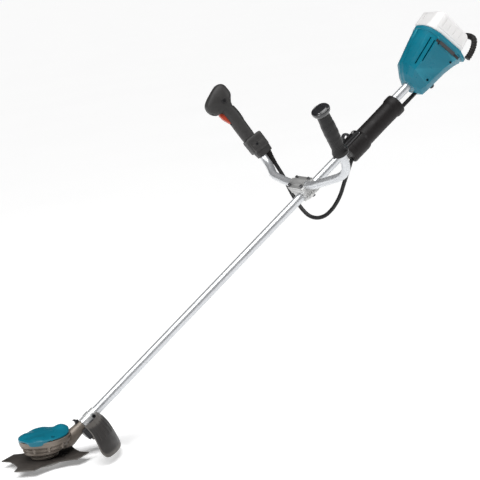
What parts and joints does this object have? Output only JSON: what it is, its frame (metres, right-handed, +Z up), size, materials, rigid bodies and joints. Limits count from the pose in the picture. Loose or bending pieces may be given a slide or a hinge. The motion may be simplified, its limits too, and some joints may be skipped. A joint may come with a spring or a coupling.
{
  "type": "brush cutter",
  "caption": "Cordless brush cutter with a head motor and hooked blade on a long pipe, a curved guard, a wide two-hand handlebar, a carrying sleeve and a rear battery housing.",
  "frame": {"origin": "centre of the flat underside of the blade nut, on the spindle axis, 18 mm below the upper face of the blade", "axes": "+Z up along the spindle, +X from the blade towards the battery, +Y to the right hand of the user; the pipe rises to the rear at 33 degrees"},
  "size_m": [1.4949, 0.6471, 0.9592],
  "materials": {
    "pipe_metal": "bright anodised, satin",
    "cast_metal": "cast, satin",
    "silver": "machined, satin",
    "steel": "satin",
    "blade_steel": "dark tempered",
    "black_steel": "black oxide",
    "teal": "moulded, fine grain",
    "black": "moulded, satin",
    "grey": "moulded, matt",
    "red": "moulded, satin",
    "copper": "wound wire",
    "pale": "moulded, satin",
    "rubber": "matt",
    "board": "coated"
  },
  "bodies": {
    "frame": {"motor_case": "cast_metal", "motor_cover": "teal", "cover_screw": "black_steel", "stator": "copper", "lower_bearing": "steel", "upper_bearing": "steel", "pipe_holder": "silver", "pipe_holder_bolt": "black_steel", "neck_hook": "black", "guard_bracket": "black", "guard": "grey", "guard_bolt_left": "black_steel", "guard_bolt_right": "black_steel", "shaft_pipe": "pipe_metal", "motor_cable": "rubber", "clamp_base": "cast_metal", "clamp_saddle": "cast_metal", "clamp_cap": "cast_metal", "cap_bolt_1": "black_steel", "cap_bolt_2": "black_steel", "cap_bolt_3": "black_steel", "cap_bolt_4": "black_steel", "base_bolt_1": "black_steel", "base_bolt_2": "black_steel", "switch_cable": "rubber", "hip_sleeve": "rubber", "housing_left": "teal", "housing_right": "teal", "controller_board": "board", "housing_knob": "black", "indicator_panel": "black", "bumper_loop": "black", "terminal_block": "black"},
    "cutter": {"blade": "blade_steel", "receive_washer": "cast_metal", "clamp_washer": "steel", "glide_cup": "steel", "blade_nut": "steel", "spindle": "steel", "rotor": "steel"},
    "handlebar": {"handlebar": "pipe_metal", "left_grip": "black", "left_grip_cap": "black", "left_grip_screw": "black_steel", "grip_shell_inner": "grey", "grip_shell_outer": "grey", "grip_block": "grey", "grip_block_screw": "black_steel", "trigger_switch": "black", "trigger_spring": "steel"},
    "trigger": {"trigger": "red"},
    "lock_off": {"lock_off_lever": "black"},
    "power_button": {"power_button": "black"},
    "hanger": {"hanger_bracket": "black", "hanger_bolt": "black_steel"},
    "battery": {"battery": "pale"},
    "battery_release": {"battery_latch": "pale"}
  },
  "joints": [
    {"name": "blade_spin", "type": "hinge", "parent": "frame", "child": "cutter", "pos_m": [0, 0, 0.018], "axis": [0, 0, 1], "continuous": true},
    {"name": "handlebar_tilt", "type": "hinge", "parent": "frame", "child": "handlebar", "pos_m": [0.82149, 0, 0.56593], "axis": [0, 1, 0], "range_deg": [-10, 15], "deforming": ["switch_cable"]},
    {"name": "trigger_squeeze", "type": "hinge", "parent": "handlebar", "child": "trigger", "pos_m": [0.74549, 0.29409, 0.76611], "axis": [-0.1493, -0.9617, 0.2299], "range_deg": [0, 7], "stiffness_Nm_per_rad": 0.5, "springref_deg": -5.73, "deforming": ["trigger_spring"]},
    {"name": "lock_off_press", "type": "hinge", "parent": "handlebar", "child": "lock_off", "pos_m": [0.78892, 0.289, 0.77303], "axis": [0.1493, 0.9617, -0.2299], "range_deg": [0, 8], "stiffness_Nm_per_rad": 0.4, "springref_deg": -5.73},
    {"name": "power_button_press", "type": "slide", "parent": "handlebar", "child": "power_button", "axis": [0.1493, 0.9617, -0.2299], "range_m": [0, 0.002], "stiffness_N_per_m": 600, "springref_m": -0.002},
    {"name": "hanger_slide", "type": "slide", "parent": "frame", "child": "hanger", "axis": [-0.8387, 0, -0.5446], "range_m": [0, 0.1]},
    {"name": "battery_slide", "type": "slide", "parent": "frame", "child": "battery", "axis": [-0.6984, 0, 0.7157], "range_m": [0, 0.14]},
    {"name": "battery_release_press", "type": "slide", "parent": "battery", "child": "battery_release", "axis": [0.6984, 0, -0.7157], "range_m": [0, 0.004], "stiffness_N_per_m": 600, "springref_m": -0.003}
  ]
}
